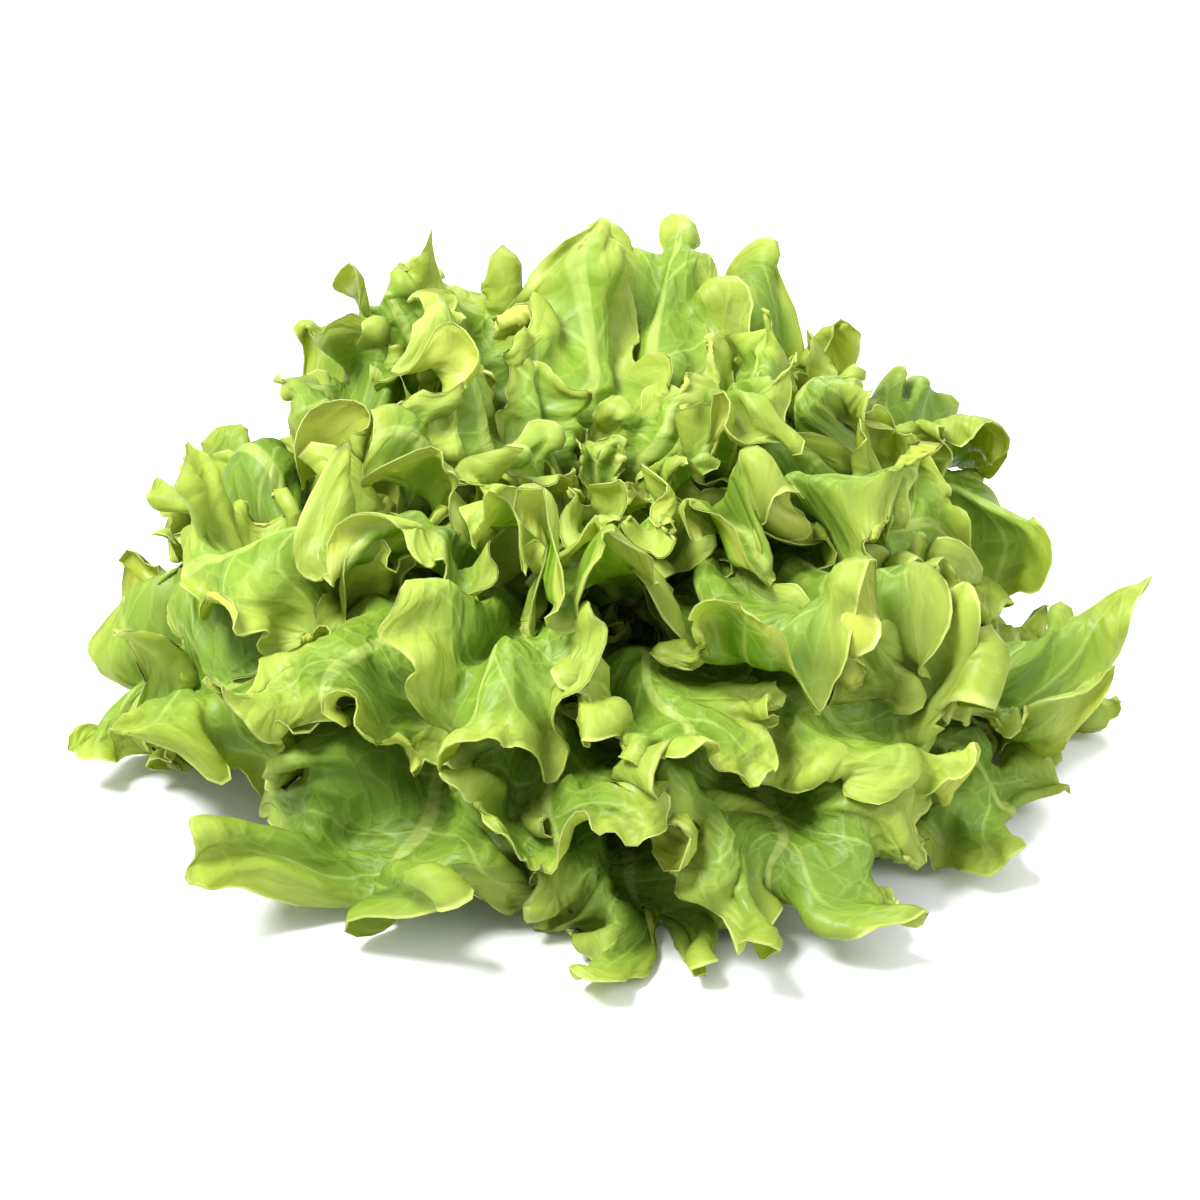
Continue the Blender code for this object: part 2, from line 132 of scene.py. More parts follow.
# The flow that sways the whole head: waves, shortest and longest, and how far they push
SWAYS = ((12, 0.070, 0.130, 0.011), (36, 0.026, 0.044, 0.0045))
SWAY_STEPS = 10
SWAY_CENTRE = 0.02  # a height on the axis, round which the head stays still
STILL_RADIUS = 0.02
SWAY_GROWTH = 0.06
SWAY_GROUND = 0.03  # height below which the flow doesn't press down in full
GROUND_SOFTNESS = 0.007
GROUND_CLEARANCE = 0.0008
GROUND_FROM = 0.02  # from the axis outwards
GROUND_GROWTH = 0.03
LEAN_FORWARD = 0.12
RISE_BACK = 2.0  # for each metre towards the back
RISE_LEFT = 0.6  # for each metre towards the left

# Size classes of leaf: first leaf of the class, name and lobes
CLASSES = (
    (0, "outer_leaf", 14),
    (18, "middle_leaf", 12),
    (36, "inner_leaf", 10),
    (49, "heart_leaf", 6),
)

# The fine mesh of a leaf
MARGIN_STEPS = {"outer_leaf": 300, "middle_leaf": 256, "inner_leaf": 184, "heart_leaf": 128}
VEIN_STEPS = 16
FACE_GAP = 0.00045  # from a blade's upper face to its lower one
RIB_BULGE = 0.0018  # how far the midrib's root stands out of the lower face
BLISTER_HEIGHT = 0.00080  # of the quilting between the veins
BLISTER_LENGTH = 0.0095
FRILLS = (  # of the small waves along the margin: length, height, and where on a vein they start
    (0.027, 0.0064, 0.28),
    (0.0125, 0.0021, 0.64),
)
LOWEST = 0.0010  # of a blade's middle above the floor
FULL_FRILL = 0.10  # length of the shortest leaf with frills of full height
FRILL_LEAN = 0.32  # of a frill's height, by which its waves hang over

# Its waves and patterns by chance
VEIN_CROWDING = 0.55  # of the places along a vein, towards the midrib and the margin
PLACES_A_STEP = 20  # places at which the margin is measured, for each step of the mesh
RIPPLE_WAVES = 9
RIPPLE_CHANCE = (0.75, 1.35)  # of a ripple's length
SEEDS_A_METRE = 1e5
SEEDS_A_LEAF = 50
BLISTER_SEED = 6000
TONE_SEED = 7000
FRILL_DRIFT = 1.6  # radians by which frills come early or late
DRIFT_WAVE = 2.2  # frills from one early one to the next
FRILL_CHANGE = 0.35  # of a frill's height, from one to another
CHANGE_WAVE = 1.7
PLAIN_ROOT = 0.25  # of the margin, over which frills grow from the root
BLISTERS_FROM = 0.15  # of a vein's length
BLISTERS_TO = 1.05
BLISTERS_FADE = 0.3
RIB_AT_TIP = 0.0010  # half the midrib's width
RIB_GROWTH = 0.0035  # by which it is wider at the root of the longest leaf
RIB_TAPER = 1.3
PATTERN_STEP = 0.2  # from one leaf's patterns to the next one's
TINY = 1e-12

# Veins: the midrib, one to each lobe, and the fine net between them
RIB_EDGE = (0.55, 1.05)  # of the midrib's width
SIDE_VEIN_EDGE = (0.00015, 0.00075)
SIDE_VEIN_END = (0.35, 0.97)  # of its length
SIDE_VEIN_SHARE = 0.75
NET_CELLS = 175.0  # in a metre
NET_EDGE = (0.012, 0.048)  # of a cell
NET_SHARE = 0.30
NET_END = (0.80, 1.0)
NET_AT_MARGIN = 0.2
NET_WANDER_LENGTH = 0.00625
NET_WANDER = 0.0018

# How the colours lie on a leaf
CLOUD_EDGES = (0.3, 0.7)
FINE_DETAIL = 4.0
SIDES = (0.2, 0.8)  # between the lower face, 0, and the upper one, 1
PATCH_SIZE = 0.028
PATCH_SHIFT = 0.16  # of a vein's length, by which the margin's colour reaches in
TONE_SHIFT = 0.12  # and from leaf to leaf
TONE_SHADE = 0.09
MARGIN_FADE = (0.30, 0.90)  # of a vein's length
BACK_SHARE = 0.55
VEIN_SHARE = 0.55
ROOT_FADE = (0.02, 0.30)  # of the leaf's length
ROOT_SHARE = 0.75
# A painted highlight along each leaf's edge, in place of light caught by the rim: where it grows in
# along a vein, and its share
RIM_HIGHLIGHT_EDGE = (0.965, 0.990)
RIM_HIGHLIGHT_SHARE = 0.80
MOTTLE_SIZE = 0.0035
MOTTLE = (0.90, 1.08)

# A leaf's surface
PILLOW_EDGE = 0.35  # of a cell of the net
PILLOW_HEIGHT = 0.7
GRAIN_SIZE = 0.0022
GRAIN_DETAIL = 3.0
GRAIN_HEIGHT = 0.5
BUMP_STRENGTH = 0.65
BUMP_HEIGHT = 0.0009
GLOSS_SIZE = 0.006
LEAF_ROUGHNESS = (0.28, 0.43)
BACK_MATTE = 0.14  # how much rougher the lower face is
LEAF_IOR = 1.42
GLOW_SHARE = 0.35
THROUGH_SHARE = 0.42  # of the light, which shines through

# The stem's surface
FIBRE_SIZE = 0.0016
FIBRE_STRETCH = (1.0, 1.0, 0.12)
FIBRE_SHARE = 0.35
FIBRE_STRENGTH = 0.4
FIBRE_HEIGHT = 0.0005
STAIN_SIZE = 0.006
STAIN_EDGES = (0.35, 0.65)
STAIN_SHARES = (0.25, 0.8)
CUT_FADE = (0.0002, 0.0016)  # height above the cut face
STEM_ROUGHNESS = 0.55

# The studio
FLOOR = (0.90, 0.91, 0.92)
FLOOR_ROUGHNESS = 0.35
FLOOR_REACH = 3.0
STUDIO = 0.86
LAMPS = (  # place, size and power
    ("key", (-0.45, -0.30, 0.95), 0.46, 24),
    ("fill", (0.80, -0.40, 0.60), 0.60, 5),
    ("rear", (0.25, 0.90, 0.70), 0.60, 7),
)
LAMP_AIM = (0, 0, 0.05)
AIM_HEIGHT = 0.38  # of the head's height, at which the camera looks

# Colours, as linear red, green and blue
BLADE = {
    "outer_leaf": (0.096, 0.238, 0.007),
    "middle_leaf": (0.128, 0.290, 0.009),
    "inner_leaf": (0.194, 0.370, 0.016),
    "heart_leaf": (0.280, 0.450, 0.036),
}
MARGIN = {
    "outer_leaf": (0.455, 0.525, 0.070),
    "middle_leaf": (0.490, 0.555, 0.080),
    "inner_leaf": (0.535, 0.595, 0.105),
    "heart_leaf": (0.575, 0.625, 0.145),
}
BACK = (0.285, 0.415, 0.052)
VEIN = (0.560, 0.660, 0.175)
# the painted highlight along each leaf's edge
RIM_HIGHLIGHT = (0.640, 0.710, 0.220)
GLOW = (0.545, 0.600, 0.035)  # light that comes through a blade
STEM_FLESH = (0.780, 0.830, 0.600)
CUT_BROWN = (0.480, 0.300, 0.130)

# The photograph
IMAGE_PIXELS = 1200
HEAD_PIXELS = 1000  # the width of the head's solids
MIDDLE_PIXELS = (614, 578)  # the middle of the head's outline
CAMERA_ELEVATION = math.radians(26)
LENS = 0.100
SENSOR = 0.036


def smooth(x):
    """0 below 0, 1 above 1 and a smooth step between."""
    x = np.clip(x, 0.0, 1.0)
    return x * x * (3 - 2 * x)


def spline(values, x):
    """A smooth line through evenly spaced values, read at x from -1 to 1."""
    last = len(values) - 1
    place = np.clip((x + 1) / 2 * last, 0, last - 1e-9)
    j = place.astype(int)
    f = place - j
    before, here = values[np.maximum(j - 1, 0)], values[j]
    after, beyond = values[np.minimum(j + 1, last)], values[np.minimum(j + 2, last)]
    slope = after - before
    square = 2 * before - 5 * here + 4 * after - beyond
    cube = 3 * here - before - 3 * after + beyond
    return 0.5 * (2 * here + slope * f + square * f**2 + cube * f**3)


def spline_through(stations, values, x):
    """A smooth line through values at unevenly spaced stations, level at both ends."""
    stations, values = np.array(stations), np.array(values)
    slopes = np.gradient(values, stations)
    slopes[0] = 0
    j = np.clip(np.searchsorted(stations, x, side="right") - 1, 0, len(stations) - 2)
    width = stations[j + 1] - stations[j]
    f = np.clip((x - stations[j]) / width, 0, 1)
    here = (1 + 2 * f) * (1 - f) ** 2 * values[j] + f * f * (3 - 2 * f) * values[j + 1]
    return here + width * (f * (1 - f) ** 2 * slopes[j] + f * f * (f - 1) * slopes[j + 1])


def leaf_class(index):
    return [c for c in CLASSES if c[0] <= index][-1]


def leaf_length(rank):
    return SHORTEST_LEAF + (LONGEST_LEAF - SHORTEST_LEAF) * (1 - rank**LENGTH_POWER)


def half_angle(rank):
    return NARROW + (WIDE - NARROW) * smooth((rank - WIDER_FROM) / (1 - WIDER_FROM))


def spine(rank):
    """A layer's profile: arc length, distance from the axis, height, and angle from the vertical.

    rank is 0 for the lowest leaf and 1 for the heart.
    """
    along = np.linspace(0, SPINE_LENGTH, SPINE_STEPS)
    start = ROOT_LEAN[0] + (ROOT_LEAN[1] - ROOT_LEAN[0]) * rank**LEAN_POWER
    end = TIP_LEAN[0] + (TIP_LEAN[1] - TIP_LEAN[0]) * rank
    lean = start + (end - start) * (along / REACH) ** BEND_POWER
    step = along[1]
    outward = np.concatenate([[0], np.cumsum(np.sin(lean[1:]) + np.sin(lean[:-1]))]) * step / 2
    upward = np.concatenate([[0], np.cumsum(np.cos(lean[1:]) + np.cos(lean[:-1]))]) * step / 2
    radius = ROOT_RADIUS + (HEART_RADIUS - ROOT_RADIUS) * rank + outward
    height = ROOT_HEIGHT + (HEART_HEIGHT - ROOT_HEIGHT) * rank + upward
    return along, radius, height, lean


def layer_gap(rank):
    """Along the spine, how far the layers lie apart for each unit of rank."""
    step = 0.02
    along, radius, height, lean = spine(rank)
    _, inner_radius, inner_height, _ = spine(rank + step)
    gap = (radius - inner_radius) * np.cos(lean) + (inner_height - height) * np.sin(lean)
    return along, np.abs(gap) / step


def plant_leaves():
    """Each leaf's rank, azimuth and length, with a little chance in them."""
    draw = np.random.default_rng(HEAD_SEED)
    number = np.arange(LEAF_COUNT)
    ranks = (number + draw.uniform(-RANK_JITTER, RANK_JITTER, LEAF_COUNT)) / (LEAF_COUNT - 1)
    ranks = np.clip(ranks, 0, 1) ** RANK_CROWDING
    azimuths = number * TURN + draw.uniform(-TURN_JITTER, TURN_JITTER, LEAF_COUNT)
    return ranks, azimuths, leaf_length(ranks) * draw.uniform(*LENGTH_CHANCE, LEAF_COUNT)


RANKS, AZIMUTHS, LENGTHS = plant_leaves()


def room(index, turn, s):
    """How far each place of this leaf may lift off its layer, outwards and inwards, clear of the others.

    Over or under another leaf that is a share of the gap between them, and beside it more.
    """
    rank = RANKS[index]
    along, radius, _, _ = spine(rank)
    from_axis = np.interp(s, along, radius)
    gap = ROOM_SHARE * np.interp(s, *layer_gap(rank))
    outwards = np.full(s.shape, MOST_LIFT)
    inwards = np.minimum(MOST_LIFT, from_axis / 2)
    for other in range(LEAF_COUNT):
        if other == index:
            continue
        apart = np.abs((turn - AZIMUTHS[other] + math.pi) % (2 * math.pi) - math.pi)
        width = np.interp(s / LENGTHS[other], MARGIN_ALONG[::-1], MARGIN_ACROSS[::-1])
        beside = from_axis * (apart - half_angle(RANKS[other]) * width - BESIDE)
        beyond = np.maximum(np.maximum(beside, s - LENGTHS[other]), 0)
        free = gap * abs(RANKS[other] - rank) + ROOM_SLOPE * beyond
        if RANKS[other] > rank:
            inwards = np.minimum(inwards, free)
        else:
            outwards = np.minimum(outwards, free)
    return outwards, inwards


def outline(place, index, shift=0.0):
    """For each place on the margin: its vein's start on the midrib, and its end across and along.

    place runs round the margin: -1 at the root, 0 at the tip and 1 at the root again. shift moves the
    vein's end round the margin, so that a wave leans over its neighbours.
    """
    rank, length, lobes = RANKS[index], LENGTHS[index], leaf_class(index)[2]
    notch, wander = leaf_draw(index)[:2]
    moved = place + WANDER * np.sin(WANDER_WAVES * place + wander) * (1 - np.abs(place)) * np.abs(place)
    away = np.clip(np.abs(moved), 0, 1)
    start = length * spline_through(MARGIN_PLACES, MARGIN_ALONG, away)
    start = start * (VEIN_START + VEIN_START_GROWTH * (1 - away) ** 2)
    lobe = (0.5 + 0.5 * np.cos(math.pi * place * lobes)) ** LOBE_POWER
    kept = 1 - notch * np.interp(away, NOTCH_PLACES, NOTCH_SHARES) * (1 - lobe)
    moved = np.clip(moved + shift, -1, 1)
    end = length * spline_through(MARGIN_PLACES, MARGIN_ALONG, np.abs(moved))
    width = half_angle(rank) * spline_through(MARGIN_PLACES, MARGIN_ACROSS, np.abs(moved))
    along, radius, _, _ = spine(rank)
    across = width * np.interp(end, along, radius) * np.sign(moved)
    return start, across * kept, start + (end - start) * kept


def leaf_draw(index):
    """What chance gives a leaf: its notches' depth and wander, and its lobes' slopes and curls."""
    lobes = leaf_class(index)[2]
    draw = np.random.default_rng(LEAF_SEED + index)
    notch, wander = draw.uniform(*NOTCH), draw.uniform(0, 2 * math.pi)
    turns = draw.choice([-1, 1]) * np.where(np.arange(lobes + 1) % 2 == 0, 1.0, -1.0)
    slopes = turns * draw.uniform(*RUFFLE_CHANCE, lobes + 1)
    curls = draw.uniform(*CURL_CHANCE, lobes + 3)
    return notch, wander, slopes, curls


def vein_lines(index, places, steps):
    """Each vein's points on the flattened layer: across, along, and lifted off it."""
    _, _, ruffles, curls = leaf_draw(index)
    ruffle, curl = spline(ruffles, places)[:, None], spline(curls, places)[:, None]
    firm = (ROOT_WAVES + (1 - ROOT_WAVES) * smooth((1 - np.abs(places)) / CALM_ROOT))[:, None]
    fine = np.linspace(0, 1, FINE + 1)[None, :]
    lobes = leaf_class(index)[2]
    swing = np.sin(math.pi * (places + 1) * lobes)[:, None]
    shift = firm * OVERHANG / lobes * swing * smooth((fine - OVERHANG_FROM) / (1 - OVERHANG_FROM))
    start, across, end = outline(places[:, None] + 0 * fine, index, shift)
    reach = np.hypot(across, end - start)
    curl_share = smooth(1 - (1 - fine) * reach / np.minimum(CURL_ZONE, CURLED_SHARE * reach))
    slope = RUFFLE * ruffle * smooth((fine - RUFFLE_FROM) / RUFFLE_ZONE) + CURL * curl * curl_share
    slope = np.clip(firm * slope, -MOST_SLOPE, MOST_SLOPE)
    outward = np.zeros_like(slope)
    lifted = np.zeros_like(slope)
    outward[:, 1:] = np.cumsum(np.cos(slope[:, :-1]), axis=1) / FINE
    lifted[:, 1:] = np.cumsum(np.sin(slope[:, :-1]), axis=1) / FINE
    place = np.asarray(steps, float) * FINE
    low = np.minimum(place.astype(int), FINE - 1)
    lines = (across * outward, start + (end - start) * outward, lifted * reach)
    return [line[:, low] + (line[:, low + 1] - line[:, low]) * (place - low) for line in lines]


def sway_modes():
    """Wave vectors, directions and phases of the smooth flow that sways the head."""
    draw = np.random.default_rng(HEAD_SEED)
    waves, pushes, phases = [], [], []
    for count, short, long, strength in SWAYS:
        across = draw.normal(size=(count, 3))
        across /= np.linalg.norm(across, axis=1)[:, None]
        push = np.cross(across, draw.normal(size=(count, 3)))
        push *= strength / math.sqrt(count / 2) / np.linalg.norm(push, axis=1)[:, None]
        waves.append(across * 2 * math.pi / draw.uniform(short, long, (count, 1)))
        pushes.append(push)
        phases.append(draw.uniform(0, 2 * math.pi, count))
    return np.concatenate(waves), np.concatenate(pushes), np.concatenate(phases)


SWAY = sway_modes()


def sway_speed(points):
    """The flow at these points. It stops at the stem, and doesn't press into the ground."""
    waves, push, phase = SWAY
    speed = np.cos(points @ waves.T + phase) @ push
    from_centre = np.linalg.norm(points - (0, 0, SWAY_CENTRE), axis=1)
    speed *= smooth((from_centre - STILL_RADIUS) / SWAY_GROWTH)[:, None]
    speed[:, 2] *= smooth(points[:, 2] / SWAY_GROUND)
    return speed


def settle(points):
    """Bends the space of the upright, even head into that of the real one. Layers never cross."""
    p = np.array(points, float)
    share = smooth((np.hypot(p[:, 0], p[:, 1]) - GROUND_FROM) / GROUND_GROWTH)
    above_ground = 0.5 * (p[:, 2] + np.sqrt(p[:, 2] ** 2 + GROUND_SOFTNESS**2)) + GROUND_CLEARANCE
    p[:, 2] += share * (above_ground - p[:, 2])
    for _ in range(SWAY_STEPS):
        halfway = p + sway_speed(p) / SWAY_STEPS / 2
        p = p + sway_speed(halfway) / SWAY_STEPS
    height = p[:, 2].copy()
    p[:, 2] *= 1 + RISE_BACK * p[:, 1] - RISE_LEFT * p[:, 0]
    p[:, 1] -= LEAN_FORWARD * height
    return p


def fold_modes():
    """Waves round the stem and along the spine, drift from layer to layer, and phases of the folds."""
    draw = np.random.default_rng(HEAD_SEED + 1)
    turns = draw.integers(FOLD_TURNS[0], FOLD_TURNS[1] + 1, FOLD_COUNT)
    along = draw.uniform(-1, 1, FOLD_COUNT) * 2 * math.pi / SHORTEST_FOLD
    drift = draw.uniform(-FOLD_DRIFT, FOLD_DRIFT, FOLD_COUNT)
    return turns, along, drift, draw.uniform(0, 2 * math.pi, FOLD_COUNT)


FOLDS = fold_modes()


def fold(turn, s, rank, from_axis):
    """How far the folds lift this place off its layer."""
    wave = sum(np.cos(m * turn + k * s + d * rank + p) for m, k, d, p in zip(*FOLDS))
    return FOLD_HEIGHT * from_axis * np.tanh(wave / math.sqrt(FOLD_COUNT / 2)) * smooth(s / FOLD_FROM)


def blade(index, places, steps):
    """Points of a leaf's middle, in rows along its veins: [place on the margin, step along the vein]."""
    x, s, lifted = vein_lines(index, places, steps)
    along, radius, height, lean = spine(RANKS[index])
    from_axis, lean = np.interp(s, along, radius), np.interp(s, along, lean)
    turn = AZIMUTHS[index] + x / np.maximum(from_axis, LEAST_FROM_AXIS)
    outwards, inwards = room(index, turn, s)
    free = np.where(lifted < 0, outwards, inwards)
    lifted = free * np.tanh(lifted / free) + fold(turn, s, RANKS[index], from_axis)
    from_axis = from_axis - lifted * np.cos(lean)
    z = np.interp(s, along, height) + lifted * np.sin(lean)
    points = np.stack([from_axis * np.cos(turn), from_axis * np.sin(turn), z], axis=-1)
    return settle(points.reshape(-1, 3)).reshape(points.shape)


def flat_leaf(index, places, steps):
    """The same places on the leaf laid flat: across it and along it."""
    start, across, end = outline(places, index)
    t = np.asarray(steps, float)[None, :]
    return np.stack([across[:, None] * t, start[:, None] + (end - start)[:, None] * t], axis=-1)


def vein_steps():
    """Places along a vein, closer together at the midrib and at the margin."""
    even = np.linspace(0, 1, VEIN_STEPS + 1)
    return even + VEIN_CROWDING * (0.5 - 0.5 * np.cos(math.pi * even) - even)


def margin_places(index, count):
    """Places on the margin, spread evenly by its length and alike on both halves of the leaf."""
    fine = np.linspace(0, 1, PLACES_A_STEP * count + 1)
    pace = 0
    for half in (-1, 1):
        _, across, end = outline(half * fine, index)
        pace = pace + np.hypot(np.diff(across), np.diff(end))
    travelled = np.concatenate([[0], np.cumsum(pace)])
    right = np.interp(np.linspace(0, travelled[-1], count // 2 + 1), travelled, fine)
    return np.concatenate([-right[:0:-1], right])


def unit(vectors):
    return vectors / np.maximum(np.linalg.norm(vectors, axis=-1), TINY)[..., None]


def sheet_normals(points):
    """Unit normals of a leaf's middle surface. Its two halves share their points on the midrib."""
    normals = unit(np.cross(np.gradient(points, axis=0), np.gradient(points, axis=1)))
    normals[:, 0] = normals[:, 1] + normals[::-1, 1]
    return unit(normals)


def ripple(places, length, seed):
    """Smooth noise on a plane, from -1 to 1, with waves about this long."""
    draw = np.random.default_rng(seed)
    heading = draw.uniform(0, 2 * math.pi, RIPPLE_WAVES)
    number = 2 * math.pi / (length * draw.uniform(*RIPPLE_CHANCE, RIPPLE_WAVES))
    phase = draw.uniform(0, 2 * math.pi, RIPPLE_WAVES)
    across, along = places[..., 0, None], places[..., 1, None]
    waves = across * np.cos(heading) * number + along * np.sin(heading) * number
    return np.tanh(np.cos(waves + phase).sum(axis=-1) / math.sqrt(RIPPLE_WAVES / 2))


def frill(index, flat, steps, length, height, start):
    """Waves that grow from start to the margin: their lift, and their shift along it."""
    margin = flat[:, -1]
    along = np.cumsum(np.linalg.norm(np.diff(margin, axis=0, prepend=margin[:1]), axis=1))
    line = np.stack([along, 0 * along], axis=-1)
    seed = int(SEEDS_A_METRE * length) + SEEDS_A_LEAF * index
    swing = 2 * math.pi * along / length + FRILL_DRIFT * ripple(line, DRIFT_WAVE * length, seed)
    size = height * (1 - FRILL_CHANGE + FRILL_CHANGE * ripple(line, CHANGE_WAVE * length, seed + 1))
    grown = smooth((steps - start) / (1 - start))[None, :]
    lift = (size * np.sin(swing))[:, None] * grown
    shift = (-FRILL_LEAN * size * np.sin(2 * swing))[:, None] * grown**2
    return lift, shift


def fine_sheet(index, places, steps):
    """A leaf's middle surface with frills and blisters, the same leaf laid flat, and the normals."""
    points = blade(index, places, steps)
    flat = flat_leaf(index, places, steps)
    firm = smooth((1 - np.abs(places)) / PLAIN_ROOT)[:, None]
    slight = min(1.0, LENGTHS[index] / FULL_FRILL)
    for length, height, start in FRILLS:
        lift, shift = frill(index, flat, steps, length * slight**0.5, height * slight, start)
        round_margin = unit(np.gradient(points, axis=0))
        lifted = sheet_normals(points) * (firm * lift)[:, :, None]
        points = points + lifted + round_margin * (firm * shift)[:, :, None]
    quilted = smooth(steps / BLISTERS_FROM) * smooth((BLISTERS_TO - steps) / BLISTERS_FADE)
    lift = firm * BLISTER_HEIGHT * ripple(flat, BLISTER_LENGTH, BLISTER_SEED + index) * quilted[None, :]
    points = points + sheet_normals(points) * lift[:, :, None]
    above = points[:, :, 2] - LOWEST
    points[:, :, 2] = LOWEST + 0.5 * (above + np.sqrt(above**2 + LOWEST**2))
    return points, flat, sheet_normals(points)


def leaf_faces(count):
    """The mesh faces of both sides of a blade and of its rim. Its halves share the midrib's points."""
    number = np.arange((count + 1) * (VEIN_STEPS + 1)).reshape(count + 1, VEIN_STEPS + 1)
    number[count // 2 + 1 :, 0] = number[: count // 2, 0][::-1]
    corners = [number[:-1, :-1], number[1:, :-1], number[1:, 1:], number[:-1, 1:]]
    upper = np.stack(corners, axis=-1).reshape(-1, 4)
    edge = np.concatenate([number[:, -1], number[-1, -2::-1], number[0, 1:-1]])
    following = np.roll(edge, -1)
    rim = np.stack([following, edge, edge + number.size, following + number.size], axis=-1)
    return np.concatenate([upper, upper[:, ::-1] + number.size, rim]).tolist()


def add_values(mesh, name, upper, lower):
    """Stores a number at each point of the upper and of the lower face, for the material."""
    values = np.concatenate([upper.ravel(), lower.ravel()]).astype(np.float32)
    mesh.attributes.new(name, "FLOAT", "POINT").data.foreach_set("value", values)


def leaf_mesh(name, index):
    """A closed mesh of one leaf: upper face, lower face with the midrib standing out, and rim."""
    _, kind, lobes = leaf_class(index)
    steps = vein_steps()
    places = margin_places(index, MARGIN_STEPS[kind])
    points, flat, normals = fine_sheet(index, places, steps)
    length = flat[:, :, 1].max()
    size = length / LONGEST_LEAF
    to_tip = np.clip(1 - flat[:, :, 1] / length, 0, 1)
    rib_width = RIB_AT_TIP + RIB_GROWTH * to_tip * size
    rib = np.exp(-((flat[:, :, 0] / rib_width) ** 2)) * to_tip**RIB_TAPER
    upper = points + normals * FACE_GAP / 2
    lower = points - normals * (FACE_GAP / 2 + RIB_BULGE * size * rib)[:, :, None]
    lane_width = np.linalg.norm(np.gradient(flat, axis=0), axis=2)
    lane_width /= np.gradient(places)[:, None] * lobes / 2
    rows = np.ones_like(lane_width)
    values = {
        "reach": rows * steps,
        "lane": rows * places[:, None] * lobes / 2,
        "lane_width": lane_width,
        "rib_width": rib_width,
        "along_leaf": flat[:, :, 1] / length,
        "tone": rows * np.random.default_rng(TONE_SEED + index).uniform(-1, 1),
    }

    mesh = bpy.data.meshes.new(name)
    mesh.from_pydata(np.concatenate([upper, lower]).reshape(-1, 3), [], leaf_faces(MARGIN_STEPS[kind]))
    for key, value in values.items():
        add_values(mesh, key, value, value)
    add_values(mesh, "side", rows, 0 * rows)
    laid = np.concatenate([flat, np.full_like(flat[:, :, :1], PATTERN_STEP * index)], axis=2)
    laid = np.concatenate([laid, laid]).astype(np.float32)
    mesh.attributes.new("laid_flat", "FLOAT_VECTOR", "POINT").data.foreach_set("vector", laid.ravel())
    mesh.validate()
    drop_loose_points(mesh)
    mesh.shade_smooth()
    return mesh


def drop_loose_points(mesh):
    """Removes the points of the midrib's second copy, which no face uses."""
    work = bmesh.new()
    work.from_mesh(mesh)
    loose = [v for v in work.verts if not v.link_faces]
    bmesh.ops.delete(work, geom=loose, context="VERTS")
    work.to_mesh(mesh)
    work.free()


class Nodes:
    """Makes and links a material's nodes. An input is a number, a colour or another node's socket."""

    def __init__(self, material):
        material.use_nodes = True
        self.tree = material.node_tree
        self.tree.nodes.clear()

    def add(self, kind, inputs, **settings):
        made = self.tree.nodes.new(kind)
        for name, value in settings.items():
            setattr(made, name, value)
        for key, value in inputs.items():
            self.put(made.inputs[key], value)
        return made

    def put(self, socket, value):
        if isinstance(value, bpy.types.NodeSocket):
            self.tree.links.new(value, socket)
        elif isinstance(value, tuple) and socket.type == "RGBA":
            socket.default_value = (*value, 1)
        else:
            socket.default_value = value

    def math(self, operation, *values):
        return self.add("ShaderNodeMath", dict(enumerate(values)), operation=operation).outputs[0]

    def vector(self, operation, inputs):
        return self.add("ShaderNodeVectorMath", inputs, operation=operation).outputs[0]

    def attribute(self, name, output="Fac"):
        return self.add("ShaderNodeAttribute", {}, attribute_name=name).outputs[output]

    def ramp(self, value, low, high, to_low=0.0, to_high=1.0):
        """A smooth step from to_low, where value is low, to to_high, where it is high."""
        inputs = {"Value": value, "From Min": low, "From Max": high, "To Min": to_low, "To Max": to_high}
        return self.add("ShaderNodeMapRange", inputs, interpolation_type="SMOOTHSTEP").outputs["Result"]

    def mix(self, share, a, b):
        made = self.add("ShaderNodeMix", {}, data_type="RGBA")
        self.put(made.inputs[0], share)
        self.put(made.inputs[6], a)
        self.put(made.inputs[7], b)
        return made.outputs[2]

    def noise(self, where, size, detail=2.0):
        inputs = {"Vector": where, "Scale": 1 / size, "Detail": detail}
        return self.add("ShaderNodeTexNoise", inputs).outputs["Fac"]

    def cloud(self, where, size, low, high, detail=2.0):
        """Noise of this size between two values, most of it at either end."""
        return self.ramp(self.noise(where, size, detail), *CLOUD_EDGES, low, high)

    def bump(self, height, strength, distance):
        inputs = {"Height": height, "Strength": strength, "Distance": distance}
        return self.add("ShaderNodeBump", inputs).outputs[0]

    def finish(self, surface):
        self.add("ShaderNodeOutputMaterial", {"Surface": surface})


def rib_share(nodes, where):
    """1 on the midrib, 0 beside it."""
    across = nodes.add("ShaderNodeSeparateXYZ", {0: where}).outputs[0]
    off_rib = nodes.math("DIVIDE", nodes.math("ABSOLUTE", across), nodes.attribute("rib_width"))
    return nodes.ramp(off_rib, *RIB_EDGE, 1.0, 0.0)


def side_vein_share(nodes, reach):
    """High on the vein that runs from the midrib to each lobe, and less towards the margin."""
    lane = nodes.math("PINGPONG", nodes.attribute("lane"), 0.5)
    off_vein = nodes.math("MULTIPLY", lane, nodes.attribute("lane_width"))
    line = nodes.ramp(off_vein, *SIDE_VEIN_EDGE, 1.0, 0.0)
    return nodes.math("MULTIPLY", line, nodes.ramp(reach, *SIDE_VEIN_END, SIDE_VEIN_SHARE, 0.0))


